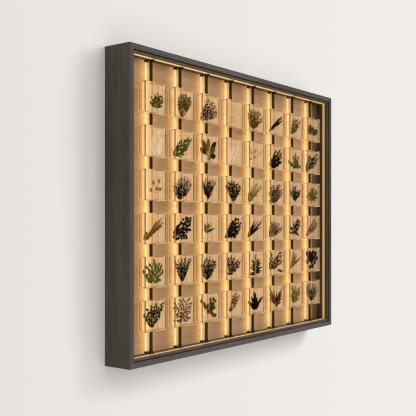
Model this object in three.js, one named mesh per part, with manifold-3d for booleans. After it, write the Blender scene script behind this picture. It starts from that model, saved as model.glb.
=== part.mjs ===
// A wall-hung display frame of pressed flowers, in millimetres, +Z up.
// The origin is the centre of the back, on the wall: y is 0 at the wall and negative towards the viewer.
// A dark wood case holds a pale back panel with eight lit lines. In front of each line hangs a column:
// short square rods with six clear boxes between them, and each box holds one pressed plant.

import * as THREE from 'three';
import { mergeVertices } from 'three/addons/utils/BufferGeometryUtils.js';
import Module from 'manifold-3d';

const wasm = await Module();
wasm.setup();

// Clearance between pieces that touch
const GAP = 0.3;

// Case
const CASE_WIDE = 1200;
const CASE_TALL = 926;
const CASE_DEEP = 100;
const RIM_WIDE = 15;
const GROOVE_WIDE = 2.5;
const GROOVE_DEEP = 12;
const LINER_WIDE = 7;
const LINER_SET_BACK = 6;
const WALL = RIM_WIDE + GROOVE_WIDE + LINER_WIDE;
const OPEN_WIDE = CASE_WIDE - 2 * WALL;
const OPEN_TALL = CASE_TALL - 2 * WALL;

// Back panel, its side cheeks and the shoulder it rests on
const PANEL_FRONT = -49;
const PANEL_THICK = 6;
const CHEEK_WIDE = 46;
const SHOULDER = 10;
const PANEL_OPEN_WIDE = OPEN_WIDE - 2 * CHEEK_WIDE;
const LIT_LINE_WIDE = 6;
const LIT_LINE_PROUD = 2;

// Back board, with a slot for the lamp cable
const BOARD_THICK = 8;
const SLOT_WIDE = 24;
const SLOT_TALL = 10;
const SLOT_ACROSS = 408;
const SLOT_UP = -380;

// Light strip let into the inner walls
const STRIP_WIDE = 10;
const STRIP_DEEP = 6;
const STRIP_MIDDLE = -78;

// Grid of boxes
const COLUMNS = 8;
const ROWS = 6;
const COLUMN_PITCH = 136;
const ROW_PITCH = 129;
const BOX_WIDE = 93;
const BOX_TALL = 92;
const BOX_FRONT = -89;
const BOX_BACK = -61;
const BOX_WALL = 3;
const SHEET_THICK = 1.2;
const BOX_MIDDLE = (BOX_FRONT + BOX_BACK) / 2;

// Rods between the boxes, with a cap under the top wall and a flared foot
const ROD = 7.5;
const ROD_MIDDLE = -70;
const CAP_WIDE = 10;
const CAP_TALL = 9;
const CAP_FRONT = -81;
const FOOT_WIDE = 13;
const FOOT_TALL = 13;

// Pressed plants
const PLANT_THICK = 2.4;
const PLANT_MIDDLE = BOX_MIDDLE - SHEET_THICK / 2 - GAP - PLANT_THICK / 2;

// A leaf is widest this share of the way to its tip, and takes this share of the room between neighbours
const LEAF_SHOULDER = 0.55;
const LEAF_CLEAR = 0.85;

// Each plant: its form, full width and height, offset from the middle of its box, lean to the right in
// degrees, and colour. All but the single leaves also have a number of leaves or blades, where a spray's are
// pairs. The list goes down each column in turn.
const PLANTS = [
  [
    { form: 'bush', wide: 60, tall: 47, across: 12, up: -5, leaves: 9, lean: 0, colour: '#5b6a2e' },
    { form: 'leaf', wide: 44, tall: 78, across: 15, up: -3, lean: 12, colour: '#d9c8ae' },
    { form: 'fan', wide: 54, tall: 48, across: 7, up: -3, leaves: 5, lean: 8, colour: '#8f8a3c' },
    { form: 'spray', wide: 84, tall: 68, across: 0, up: -1, leaves: 4, lean: 52, colour: '#8a7a2c' },
    { form: 'bush', wide: 84, tall: 74, across: -1, up: 2, leaves: 9, lean: 0, colour: '#3f7d2c' },
    { form: 'spray', wide: 82, tall: 74, across: 1, up: 1, leaves: 4, lean: 34, colour: '#2f4a1e' },
  ],
  [
    { form: 'fan', wide: 64, tall: 76, across: 9, up: -4, leaves: 7, lean: 16, colour: '#77702a' },
    { form: 'spray', wide: 84, tall: 70, across: 0, up: -4, leaves: 4, lean: 44, colour: '#2d4a24' },
    { form: 'fan', wide: 84, tall: 76, across: 0, up: -3, leaves: 8, lean: 6, colour: '#2b241a' },
    { form: 'spray', wide: 84, tall: 76, across: 0, up: -1, leaves: 4, lean: 38, colour: '#14120f' },
    { form: 'fan', wide: 78, tall: 78, across: 0, up: 1, leaves: 7, lean: 4, colour: '#251a12' },
    { form: 'bush', wide: 82, tall: 78, across: 1, up: 2, leaves: 8, lean: 0, colour: '#8a745a' },
  ],
  [
    { form: 'spray', wide: 82, tall: 76, across: 1, up: -3, leaves: 4, lean: 42, colour: '#4d4034' },
    { form: 'bush', wide: 80, tall: 74, across: -2, up: -3, leaves: 6, lean: 0, colour: '#6d6b23' },
    { form: 'fan', wide: 70, tall: 80, across: -2, up: -1, leaves: 7, lean: 4, colour: '#1b1611' },
    { form: 'fan', wide: 50, tall: 38, across: 2, up: 2, leaves: 7, lean: 10, colour: '#7d8557' },
    { form: 'fan', wide: 76, tall: 78, across: 0, up: -1, leaves: 7, lean: 18, colour: '#1f1a14' },
    { form: 'bush', wide: 80, tall: 68, across: -2, up: -2, leaves: 8, lean: 0, colour: '#5b5626' },
  ],
  [
    { form: 'spray', wide: 82, tall: 78, across: 0, up: -1, leaves: 4, lean: 20, colour: '#d8b27c' },
    { form: 'leaf', wide: 54, tall: 66, across: 8, up: -5, lean: 22, colour: '#d3bfa3' },
    { form: 'fan', wide: 80, tall: 74, across: 1, up: -4, leaves: 7, lean: 2, colour: '#2f2f1b' },
    { form: 'spray', wide: 84, tall: 74, across: 0, up: 0, leaves: 4, lean: 46, colour: '#171411' },
    { form: 'bush', wide: 78, tall: 68, across: 1, up: 2, leaves: 8, lean: 0, colour: '#3a2f1c' },
    { form: 'spray', wide: 60, tall: 66, across: 9, up: 7, leaves: 3, lean: 34, colour: '#7b5a45' },
  ],
  [
    { form: 'fan', wide: 84, tall: 76, across: 0, up: -1, leaves: 8, lean: 8, colour: '#6d6525' },
    { form: 'bush', wide: 70, tall: 44, across: 1, up: 2, leaves: 7, lean: 0, colour: '#b39a68' },
    { form: 'fan', wide: 82, tall: 70, across: 0, up: -4, leaves: 7, lean: 30, colour: '#9a8a45' },
    { form: 'fan', wide: 84, tall: 68, across: 0, up: 0, leaves: 6, lean: 46, colour: '#1d1813' },
    { form: 'bush', wide: 84, tall: 80, across: 0, up: 0, leaves: 10, lean: 0, colour: '#3a3f24' },
    { form: 'fan', wide: 80, tall: 66, across: 0, up: -1, leaves: 6, lean: 2, colour: '#17130f' },
  ],
  [
    { form: 'leaf', wide: 84, tall: 64, across: 0, up: -4, lean: 56, colour: '#1e1a17' },
    { form: 'spray', wide: 82, tall: 80, across: 0, up: -2, leaves: 4, lean: 34, colour: '#15110d' },
    { form: 'bush', wide: 84, tall: 74, across: 0, up: -3, leaves: 9, lean: 0, colour: '#33291f' },
    { form: 'spray', wide: 84, tall: 66, across: 0, up: -3, leaves: 4, lean: 48, colour: '#4b4034' },
    { form: 'spray', wide: 84, tall: 78, across: 0, up: 0, leaves: 4, lean: 40, colour: '#4b5138' },
    { form: 'fan', wide: 84, tall: 80, across: 0, up: 2, leaves: 8, lean: 0, colour: '#6d4d2e' },
  ],
  [
    { form: 'spray', wide: 64, tall: 64, across: 8, up: 0, leaves: 4, lean: 24, colour: '#656037' },
    { form: 'bush', wide: 84, tall: 62, across: 0, up: -3, leaves: 8, lean: 0, colour: '#4f5a26' },
    { form: 'bush', wide: 70, tall: 62, across: 5, up: 1, leaves: 8, lean: 0, colour: '#23271a' },
    { form: 'bush', wide: 70, tall: 68, across: 0, up: 0, leaves: 8, lean: 0, colour: '#15130f' },
    { form: 'fan', wide: 74, tall: 72, across: 4, up: 3, leaves: 6, lean: 28, colour: '#827225' },
    { form: 'spray', wide: 62, tall: 72, across: 7, up: 3, leaves: 4, lean: 16, colour: '#5c632b' },
  ],
  [
    { form: 'bush', wide: 72, tall: 46, across: 5, up: 1, leaves: 8, lean: 0, colour: '#3d4a36' },
    { form: 'spray', wide: 82, tall: 76, across: 0, up: -2, leaves: 4, lean: 40, colour: '#1f3321' },
    { form: 'fan', wide: 84, tall: 70, across: 0, up: -2, leaves: 8, lean: 8, colour: '#77742a' },
    { form: 'leaf', wide: 80, tall: 72, across: 0, up: 0, lean: 48, colour: '#6a5b49' },
    { form: 'bush', wide: 84, tall: 78, across: 0, up: 1, leaves: 8, lean: 0, colour: '#151a1e' },
    { form: 'fan', wide: 84, tall: 76, across: 0, up: 3, leaves: 8, lean: 0, colour: '#5b4530' },
  ],
];

// A closed mesh as a solid
function toSolid(geometry) {
  const bare = geometry.index ? geometry.clone() : geometry;
  bare.deleteAttribute('normal');
  bare.deleteAttribute('uv');
  const merged = mergeVertices(bare, 1e-4);
  return new wasm.Manifold(new wasm.Mesh({
    numProp: 3,
    vertProperties: new Float32Array(merged.attributes.position.array),
    triVerts: new Uint32Array(merged.index.array),
  }));
}

// A solid as a mesh
function toGeometry(solid) {
  const mesh = solid.getMesh();
  const geometry = new THREE.BufferGeometry();
  geometry.setAttribute('position', new THREE.BufferAttribute(mesh.vertProperties, 3));
  geometry.setIndex(new THREE.BufferAttribute(mesh.triVerts, 1));
  geometry.computeVertexNormals();
  return geometry;
}

// A block between two depths, centred at (x, z)
function block(wide, tall, front, back, x = 0, z = 0) {
  const geometry = new THREE.BoxGeometry(wide, back - front, tall);
  geometry.translate(x, (front + back) / 2, z);
  return toSolid(geometry);
}

// An outline drawn in the plane of the wall, given thickness between two depths
function plate(shape, front, back) {
  const geometry = new THREE.ExtrudeGeometry(shape, { depth: back - front, bevelEnabled: false });
  geometry.rotateX(Math.PI / 2);
  geometry.translate(0, back, 0);
  return geometry;
}

function rectangle(wide, tall, x = 0, z = 0) {
  const corners = [[-1, -1], [1, -1], [1, 1], [-1, 1]];
  return corners.map(([side, end]) => new THREE.Vector2(x + side * wide / 2, z + end * tall / 2));
}

function mesh(name, geometry, colour, roughness, metalness = 0) {
  const material = new THREE.MeshStandardMaterial({ color: colour, roughness, metalness });
  const piece = new THREE.Mesh(geometry, material);
  piece.name = name;
  return piece;
}

// Case: four mitred rails as one ring, with a rim, a shadow groove and a set-back liner in front
function makeCase() {
  const rimInner = 2 * RIM_WIDE;
  const linerOuter = rimInner + 2 * GROOVE_WIDE;
  const linerFront = -CASE_DEEP + LINER_SET_BACK;
  const panelBack = PANEL_FRONT + PANEL_THICK;
  const past = 1;
  let solid = block(CASE_WIDE, CASE_TALL, -CASE_DEEP, 0);
  const cuts = [
    block(CASE_WIDE - rimInner, CASE_TALL - rimInner, -CASE_DEEP - past, linerFront),
    block(CASE_WIDE - rimInner, CASE_TALL - rimInner, linerFront - past, linerFront + GROOVE_DEEP)
      .subtract(block(CASE_WIDE - linerOuter, CASE_TALL - linerOuter, linerFront - 2 * past, 0)),
    block(OPEN_WIDE, OPEN_TALL, -CASE_DEEP - past, PANEL_FRONT),
    block(PANEL_OPEN_WIDE, OPEN_TALL, PANEL_FRONT - past, panelBack),
    block(PANEL_OPEN_WIDE - 2 * SHOULDER, OPEN_TALL - 2 * SHOULDER, panelBack - past, past),
    block(OPEN_WIDE, OPEN_TALL, -BOARD_THICK, past),
    block(
      OPEN_WIDE + 2 * STRIP_DEEP,
      OPEN_TALL + 2 * STRIP_DEEP,
      STRIP_MIDDLE - STRIP_WIDE / 2,
      STRIP_MIDDLE + STRIP_WIDE / 2,
    ),
  ];
  for (const cut of cuts) {
    solid = solid.subtract(cut);
  }
  return mesh('case', toGeometry(solid), '#4a4541', 0.55);
}

// Back board: closes the case at the wall
function makeBackBoard() {
  const shape = new THREE.Shape(rectangle(OPEN_WIDE - 2 * GAP, OPEN_TALL - 2 * GAP));
  shape.holes.push(new THREE.Path(rectangle(SLOT_WIDE, SLOT_TALL, SLOT_ACROSS, SLOT_UP)));
  return mesh('back_board', plate(shape, -BOARD_THICK, 0), '#3a332c', 0.8);
}

// Display panel: a pale wood sheet with a raised lit line behind each column
function makeDisplayPanel() {
  const wide = PANEL_OPEN_WIDE - 2 * GAP;
  const tall = OPEN_TALL - 2 * GAP;
  let solid = block(wide, tall, PANEL_FRONT, PANEL_FRONT + PANEL_THICK - GAP);
  for (let column = 0; column < COLUMNS; column += 1) {
    const lineFront = PANEL_FRONT - LIT_LINE_PROUD;
    solid = solid.add(block(LIT_LINE_WIDE, tall, lineFront, PANEL_FRONT + 1, columnX(column)));
  }
  return mesh('display_panel', toGeometry(solid), '#cfa273', 0.6);
}

// Perimeter light: the strip's diffuser, flush with the inner walls
function makePerimeterLight() {
  const deep = 2 * (STRIP_DEEP - GAP);
  const shape = new THREE.Shape(rectangle(OPEN_WIDE + deep, OPEN_TALL + deep));
  shape.holes.push(new THREE.Path(rectangle(OPEN_WIDE, OPEN_TALL)));
  const half = STRIP_WIDE / 2 - GAP;
  return mesh('perimeter_light', plate(shape, STRIP_MIDDLE - half, STRIP_MIDDLE + half), '#ffd88a', 0.4);
}

function columnX(column) {
  return (column - (COLUMNS - 1) / 2) * COLUMN_PITCH;
}

function rowZ(row) {
  return ((ROWS - 1) / 2 - row) * ROW_PITCH;
}

// Foot: a square flare at the bottom of the lowest rod
function makeFoot() {
  const corner = Math.SQRT1_2;
  const foot = new THREE.CylinderGeometry(ROD * corner, FOOT_WIDE * corner, FOOT_TALL, 4);
  foot.rotateY(Math.PI / 4);
  foot.rotateX(Math.PI / 2);
  foot.translate(0, ROD_MIDDLE, -OPEN_TALL / 2 + GAP + FOOT_TALL / 2);
  return toSolid(foot);
}

// One column: rods and clear boxes fixed end to end. Each box is open in front of and behind the thin
// sheet that carries its plant.
function makeColumn() {
  const rodBack = ROD_MIDDLE + ROD / 2;
  const capZ = OPEN_TALL / 2 - GAP - CAP_TALL / 2;
  let solid = block(ROD, OPEN_TALL - 2 * GAP, ROD_MIDDLE - ROD / 2, rodBack);
  solid = solid.add(block(CAP_WIDE, CAP_TALL, CAP_FRONT, rodBack + 1, 0, capZ));
  solid = solid.add(makeFoot());
  for (let row = 0; row < ROWS; row += 1) {
    const z = rowZ(row);
    const insideWide = BOX_WIDE - 2 * BOX_WALL;
    const insideTall = BOX_TALL - 2 * BOX_WALL;
    const sheetFront = BOX_MIDDLE - SHEET_THICK / 2;
    const sheetBack = BOX_MIDDLE + SHEET_THICK / 2;
    solid = solid.add(block(BOX_WIDE, BOX_TALL, BOX_FRONT, BOX_BACK, 0, z));
    solid = solid.subtract(block(insideWide, insideTall, BOX_FRONT - 1, sheetFront, 0, z));
    solid = solid.subtract(block(insideWide, insideTall, sheetBack, BOX_BACK + 1, 0, z));
  }
  return toGeometry(solid);
}

// The width of a leaf that stays clear of its neighbours when they fan out this angle apart
function clearWidth(length, step, widest) {
  return Math.min(widest, 2 * LEAF_CLEAR * LEAF_SHOULDER * length * Math.tan(step / 2));
}

// Points of one leaf from a foot point: shoulder, tip, shoulder. The angle is from upright, clockwise.
function leafPoints(x, z, angle, length, width) {
  const along = [Math.sin(angle), Math.cos(angle)];
  const side = [Math.cos(angle), -Math.sin(angle)];
  const place = (far, off) => [
    x + along[0] * length * far + side[0] * width * off,
    z + along[1] * length * far + side[1] * width * off,
  ];
  return [place(LEAF_SHOULDER, -0.5), place(1, 0), place(LEAF_SHOULDER, 0.5)];
}

// Blades that fan out from the foot of a short stem
function fanOutline({ leaves, lean }) {
  const spread = THREE.MathUtils.degToRad(118);
  const tilt = THREE.MathUtils.degToRad(lean);
  const step = spread / (leaves - 1);
  const points = [[-0.02, -0.35], [-0.02, 0]];
  for (let i = 0; i < leaves; i += 1) {
    const angle = tilt + i * step - spread / 2;
    const length = 0.86 + 0.14 * Math.cos(2.4 * i);
    points.push(...leafPoints(0, 0, angle, length, clearWidth(length, step, 0.17)));
    if (i < leaves - 1) {
      const valley = angle + step / 2;
      points.push([0.2 * Math.sin(valley), 0.2 * Math.cos(valley)]);
    }
  }
  points.push([0.02, 0], [0.02, -0.35]);
  return points;
}

// Leaves all round a middle, above a short stem
function bushOutline({ leaves }) {
  const points = [[-0.03, -0.95], [-0.03, -0.3]];
  const spread = THREE.MathUtils.degToRad(300);
  const step = spread / (leaves - 1);
  for (let i = 0; i < leaves; i += 1) {
    const angle = i * step - spread / 2;
    const length = 0.9 + 0.12 * Math.cos(2.4 * i);
    points.push(...leafPoints(0, 0, angle, length, clearWidth(length, step, 0.36)));
    if (i < leaves - 1) {
      const valley = angle + step / 2;
      points.push([0.3 * Math.sin(valley), 0.3 * Math.cos(valley)]);
    }
  }
  points.push([0.03, -0.3], [0.03, -0.95]);
  return points;
}

// A leaning stem with leaves in pairs and one at the tip
function sprayOutline({ leaves, lean }) {
  const tilt = THREE.MathUtils.degToRad(lean);
  const stem = 0.03;
  const opening = 0.95;
  const spacing = 0.56 / leaves;
  const width = LEAF_CLEAR * spacing * Math.sin(opening);
  const onStem = (far, off) => [
    Math.sin(tilt) * far + Math.cos(tilt) * off,
    Math.cos(tilt) * far - Math.sin(tilt) * off,
  ];
  const left = [];
  const right = [];
  for (let i = 0; i < leaves; i += 1) {
    const far = 0.28 + spacing * i;
    const length = 0.42 - 0.16 * i / leaves;
    const [x, z] = onStem(far, 0);
    left.push(onStem(far - 0.06, -stem), ...leafPoints(x, z, tilt - opening, length, width));
    right.push(onStem(far - 0.06, stem), ...leafPoints(x, z, tilt + opening, length, width).reverse());
  }
  const [x, z] = onStem(0.82, 0);
  const tip = leafPoints(x, z, tilt, 0.3, width);
  return [onStem(0, -stem), ...left, onStem(0.8, -stem), ...tip, onStem(0.8, stem), ...right.reverse(),
    onStem(0, stem)];
}

// One long leaf with a smooth edge, from a short stalk
function leafOutline({ lean }) {
  const tilt = THREE.MathUtils.degToRad(lean);
  const steps = 8;
  const points = [];
  for (let i = 0; i < 2 * steps; i += 1) {
    const side = i < steps ? -1 : 1;
    const far = side < 0 ? i / steps : 2 - i / steps;
    const off = side * (0.02 + 0.17 * Math.sin(Math.PI * far) ** 0.8);
    points.push([
      Math.sin(tilt) * far + Math.cos(tilt) * off,
      Math.cos(tilt) * far - Math.sin(tilt) * off,
    ]);
  }
  return points;
}

const OUTLINES = { fan: fanOutline, bush: bushOutline, spray: sprayOutline, leaf: leafOutline };

// One pressed plant: its outline stretched to its own width and height, in its box
function makePlant(plant, name, x, z) {
  const outline = OUTLINES[plant.form](plant).map(([u, v]) => new THREE.Vector2(u, v));
  const box = new THREE.Box2().setFromPoints(outline);
  const size = box.getSize(new THREE.Vector2());
  const middle = box.getCenter(new THREE.Vector2());
  for (const point of outline) {
    point.sub(middle);
    point.x = x + plant.across + point.x * plant.wide / size.x;
    point.y = z + plant.up + point.y * plant.tall / size.y;
  }
  const half = PLANT_THICK / 2;
  const geometry = plate(new THREE.Shape(outline), PLANT_MIDDLE - half, PLANT_MIDDLE + half);
  return mesh(name, geometry, plant.colour, 0.8);
}

const group = new THREE.Group();
group.add(makeCase(), makeBackBoard(), makeDisplayPanel(), makePerimeterLight());

const columnGeometry = makeColumn();
for (let column = 0; column < COLUMNS; column += 1) {
  const piece = mesh(`box_column_${column + 1}`, columnGeometry, '#c9c2b6', 0.1);
  piece.position.x = columnX(column);
  group.add(piece);
  for (let row = 0; row < ROWS; row += 1) {
    const name = `plant_r${row + 1}_c${column + 1}`;
    group.add(makePlant(PLANTS[column][row], name, columnX(column), rowZ(row)));
  }
}

export default group;
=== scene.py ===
"""Looks of a wall-hung, lit display frame of pressed plants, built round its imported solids.

Lengths are in metres, in the part's own frame: x to the right, z up, y = 0 on the wall and negative
towards the viewer. Sizes are written in millimetres times MM.
"""

import math
import random

import bmesh
import bpy
from mathutils import Matrix, Vector


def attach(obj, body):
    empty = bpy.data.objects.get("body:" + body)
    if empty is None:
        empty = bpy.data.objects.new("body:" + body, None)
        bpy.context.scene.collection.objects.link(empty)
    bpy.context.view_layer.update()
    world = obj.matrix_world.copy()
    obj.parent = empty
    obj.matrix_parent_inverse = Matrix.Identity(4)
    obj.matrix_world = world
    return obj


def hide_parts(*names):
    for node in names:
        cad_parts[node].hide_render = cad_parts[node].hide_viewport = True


MM = 0.001

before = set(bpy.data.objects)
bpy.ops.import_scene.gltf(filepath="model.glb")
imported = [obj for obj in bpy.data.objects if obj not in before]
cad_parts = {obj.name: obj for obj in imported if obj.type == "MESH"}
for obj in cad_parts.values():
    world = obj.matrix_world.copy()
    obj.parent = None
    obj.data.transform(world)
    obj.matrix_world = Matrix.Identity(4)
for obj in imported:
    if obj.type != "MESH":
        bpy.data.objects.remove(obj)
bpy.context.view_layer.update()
scene = bpy.context.scene

# Camera: fitted to the corners of the case
CAMERA_PLACE = (-2.15448, -1.5556, -0.05136)
CAMERA_TILT = math.radians(89.92)
CAMERA_TURN = math.radians(-52.83)
CAMERA_LENS = 64.936
CAMERA_SHIFT = 0.041

# Case profile: distances in from the outer face, and depths from the wall
HALF_WIDE = 600 * MM
HALF_TALL = 463 * MM
CASE_FRONT = -100 * MM
RIM = 15 * MM
GROOVE = 2.5 * MM
GROOVE_BACK = -82 * MM
LINER_FRONT = -94 * MM
WALL = 24.5 * MM
CHANNEL = 6 * MM
CHANNEL_FRONT = -83 * MM
CHANNEL_BACK = -73 * MM
PANEL_FRONT = -49 * MM
PANEL_BACK = -43 * MM
SHOULDER = 10 * MM
BOARD_FRONT = -8 * MM
CHEEK = 46 * MM
MITRE_GAP = 0.15 * MM
GAP = 0.3 * MM
HALF_OPEN_WIDE = HALF_WIDE - WALL
HALF_OPEN_TALL = HALF_TALL - WALL

# Lit lines, rods and boxes
COLUMNS = 8
ROWS = 6
COLUMN_PITCH = 136 * MM
ROW_PITCH = 129 * MM
LINE_WIDE = 6 * MM
LINE_PROUD = 2 * MM
BOX_WIDE = 93 * MM
BOX_TALL = 92 * MM
BOX_FRONT = -89 * MM
BOX_BACK = -61 * MM
BOX_MIDDLE = (BOX_FRONT + BOX_BACK) / 2
BOX_WALL = 3 * MM
SHEET_THICK = 1.2 * MM
EDGE_THICK = 0.3 * MM
FRONT_LINE = 1.3 * MM
FRONT_BAND = 2.6 * MM
ROD = 7.5 * MM
ROD_MIDDLE = -70 * MM
PIN = 3 * MM
PIN_MIDDLE = -72.6 * MM
CAP_WIDE = 10 * MM
CAP_TALL = 9 * MM
CAP_FRONT = -81 * MM
FOOT_WIDE = 13 * MM
FOOT_TALL = 13 * MM
CLIP_WIDE = 15 * MM
CLIP_TALL = 6 * MM
CLIP_PROUD = 7 * MM

# The plants lie on the front of the carrier sheets
PLANT_BACK = BOX_MIDDLE - SHEET_THICK / 2 - GAP
PLANT_ROOM = 9.6 * MM
PLANT_THICK = 3.6 * MM


def column_x(column):
    return (column - (COLUMNS - 1) / 2) * COLUMN_PITCH


def row_z(row):
    return ((ROWS - 1) / 2 - row) * ROW_PITCH


def linear(hex_colour):
    """A #rrggbb colour as three linear values."""
    channels = [int(hex_colour[i:i + 2], 16) / 255 for i in (1, 3, 5)]
    return tuple(c / 12.92 if c <= 0.04045 else ((c + 0.055) / 1.055) ** 2.4 for c in channels)


def make_camera():
    data = bpy.data.cameras.new("camera")
    data.lens = CAMERA_LENS
    data.shift_y = CAMERA_SHIFT
    camera = bpy.data.objects.new("camera", data)
    camera.location = CAMERA_PLACE
    camera.rotation_euler = (CAMERA_TILT, 0, CAMERA_TURN)
    scene.collection.objects.link(camera)
    scene.camera = camera


# Node helpers
class Nodes:
    """The nodes of a material or of the world, with short calls for the ones used here."""

    def __init__(self, name, world=None):
        self.material = world or bpy.data.materials.new(name)
        self.material.use_nodes = True
        self.tree = self.material.node_tree
        self.shader = self.tree.nodes.get("Principled BSDF")

    def add(self, kind, inputs=None, **settings):
        node = self.tree.nodes.new(kind)
        for name, value in settings.items():
            setattr(node, name, value)
        for name, value in (inputs or {}).items():
            self.put(node.inputs[name], value)
        return node

    def put(self, socket, value):
        if isinstance(value, bpy.types.NodeSocket):
            self.tree.links.new(value, socket)
        else:
            socket.default_value = value

    def set(self, **values):
        for name, value in values.items():
            self.put(self.shader.inputs[name.replace("_", " ")], value)

    def place(self, scale=(1, 1, 1)):
        """Where the surface is, in metres in the object's own frame, stretched by scale."""
        where = self.add("ShaderNodeTexCoord").outputs["Object"]
        return self.add("ShaderNodeMapping", {"Vector": where, "Scale": scale}).outputs[0]

    def axis(self, name):
        where = self.add("ShaderNodeTexCoord").outputs["Object"]
        return self.add("ShaderNodeSeparateXYZ", {"Vector": where}).outputs[name]

    def noise(self, where, scale, detail=4.0, roughness=0.55):
        inputs = {"Vector": where, "Scale": scale, "Detail": detail, "Roughness": roughness}
        return self.add("ShaderNodeTexNoise", inputs).outputs["Fac"]

    def math(self, operation, *values):
        node = self.add("ShaderNodeMath", operation=operation)
        for socket, value in zip(node.inputs, values):
            self.put(socket, value)
        return node.outputs[0]

    def ramp(self, factor, stops, interpolation="LINEAR"):
        node = self.add("ShaderNodeValToRGB", {"Fac": factor})
        node.color_ramp.interpolation = interpolation
        elements = node.color_ramp.elements
        while len(elements) < len(stops):
            elements.new(1)
        for element, (position, colour) in zip(elements, stops):
            element.position = position
            element.color = (*colour, 1)
        return node.outputs["Color"]

    def mix(self, factor, first, second, blend="MIX"):
        node = self.add("ShaderNodeMix", data_type="RGBA", blend_type=blend)
        for socket, value in zip((node.inputs[0], node.inputs[6], node.inputs[7]), (factor, first, second)):
            self.put(socket, value)
        return node.outputs[2]

    def range(self, value, low, high, new_low, new_high):
        inputs = {"Value": value, "From Min": low, "From Max": high, "To Min": new_low, "To Max": new_high}
        return self.add("ShaderNodeMapRange", inputs).outputs[0]

    def bump(self, height, strength, distance=0.5 * MM):
        inputs = {"Height": height, "Strength": strength, "Distance": distance}
        self.set(Normal=self.add("ShaderNodeBump", inputs).outputs[0])


# Materials
def stained_wood(name, along, dark, light, gloss=0.5):
    """Dark stained open-grained wood, with its grain along one axis."""
    nodes = Nodes(name)
    stretch = {"x": (0.05, 1, 1), "z": (1, 1, 0.05)}[along]
    where = nodes.place(stretch)
    broad = nodes.noise(where, 55, 3)
    fine = nodes.noise(where, 420, 5, 0.7)
    pores = nodes.noise(nodes.place({"x": (0.03, 1, 1), "z": (1, 1, 0.03)}[along]), 1100, 2)
    grain = nodes.math("ADD", nodes.math("MULTIPLY", broad, 0.45), nodes.math("MULTIPLY", fine, 0.55))
    colour = nodes.ramp(grain, [(0.34, dark), (0.66, light)])
    pore = nodes.range(pores, 0.36, 0.5, 0.62, 1.0)
    colour = nodes.mix(1.0, colour, pore, "MULTIPLY")
    nodes.set(Base_Color=colour, Roughness=nodes.range(fine, 0.3, 0.7, gloss, gloss + 0.16))
    nodes.set(Specular_IOR_Level=0.35)
    nodes.bump(nodes.math("MULTIPLY", nodes.math("ADD", fine, pores), 0.5), 0.35)
    return nodes.material


def panel_wood():
    """Pale veneer with a painted glow: emission standing in for the light of the lines on it, falling off on
    each side of every line.
    """
    nodes = Nodes("panel_wood")
    where = nodes.place((0.06, 1, 1))
    broad = nodes.noise(where, 38, 3)
    fine = nodes.noise(where, 330, 4, 0.6)
    grain = nodes.math("ADD", nodes.math("MULTIPLY", broad, 0.5), nodes.math("MULTIPLY", fine, 0.5))
    wood = nodes.ramp(grain, [(0.34, (0.24, 0.165, 0.10)), (0.66, (0.37, 0.255, 0.165))])
    nodes.set(Base_Color=wood, Roughness=nodes.range(fine, 0.3, 0.7, 0.55, 0.7))
    nodes.set(Specular_IOR_Level=0.3)
    nodes.bump(fine, 0.2)
    # Painted glow: emission that falls off with the distance from the nearest lit line, standing in for the
    # light the lines cast on the panel.
    turns = nodes.math("FRACT", nodes.math("DIVIDE", nodes.axis("X"), COLUMN_PITCH))
    away = nodes.math("MULTIPLY", nodes.math("ABSOLUTE", nodes.math("SUBTRACT", turns, 0.5)), 2.0)
    half_pitch = COLUMN_PITCH / 2
    lit = [
        (0, (0.80, 0.58, 0.22)),
        (6, (0.79, 0.51, 0.17)),
        (14, (0.76, 0.39, 0.115)),
        (21, (0.62, 0.29, 0.068)),
        (29, (0.45, 0.21, 0.050)),
        (36, (0.32, 0.147, 0.034)),
        (44, (0.24, 0.112, 0.028)),
        (52, (0.205, 0.098, 0.027)),
        (68, (0.195, 0.094, 0.027)),
    ]
    painted_line_glow = nodes.ramp(away, [(far * MM / half_pitch, colour) for far, colour in lit], "EASE")
    # The painted glow follows the grain.
    shade = nodes.range(grain, 0.34, 0.66, 0.76, 1.17)
    # Painted shade: the glow fades toward the top and bottom ends of the panel.
    high = nodes.range(nodes.math("ABSOLUTE", nodes.axis("Z")), 0.34, HALF_OPEN_TALL, 1.0, 0.62)
    # Only the front face carries the painted glow.
    front = nodes.math("LESS_THAN", nodes.axis("Y"), PANEL_FRONT + 1 * MM)
    shade = nodes.math("MULTIPLY", nodes.math("MULTIPLY", shade, high), front)
    nodes.set(Emission_Color=nodes.mix(1.0, painted_line_glow, shade, "MULTIPLY"), Emission_Strength=1.0)
    return nodes.material


def diffuser(name, colour, foot_share):
    """Frosted warm diffuser, lit from inside, weaker down the right side and along the foot of the case."""
    nodes = Nodes(name)
    cloud = nodes.noise(nodes.place(), 60, 2)
    right = nodes.range(nodes.axis("X"), HALF_OPEN_WIDE - 10 * MM, HALF_OPEN_WIDE, 1.0, 0.32)
    tone = nodes.math("MULTIPLY", nodes.range(cloud, 0.3, 0.7, 0.94, 1.04), right)
    foot = nodes.range(nodes.axis("Z"), -HALF_OPEN_TALL, 10 * MM - HALF_OPEN_TALL, foot_share, 1.0)
    tone = nodes.math("MULTIPLY", tone, foot)
    nodes.set(Base_Color=(0.8, 0.62, 0.36, 1), Roughness=0.5)
    nodes.set(Emission_Color=nodes.mix(1.0, (*colour, 1), tone, "MULTIPLY"), Emission_Strength=1.0)
    return nodes.material


def board():
    """Plain brown fibre board."""
    nodes = Nodes("board")
    speck = nodes.noise(nodes.place(), 900, 4, 0.7)
    cloud = nodes.noise(nodes.place(), 14, 2)
    mixed = nodes.math("ADD", nodes.math("MULTIPLY", speck, 0.7), nodes.math("MULTIPLY", cloud, 0.3))
    nodes.set(Base_Color=nodes.ramp(mixed, [(0.36, (0.10, 0.070, 0.044)), (0.64, (0.19, 0.137, 0.090))]))
    nodes.set(Roughness=0.85)
    nodes.bump(speck, 0.25, 0.3 * MM)
    return nodes.material


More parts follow.
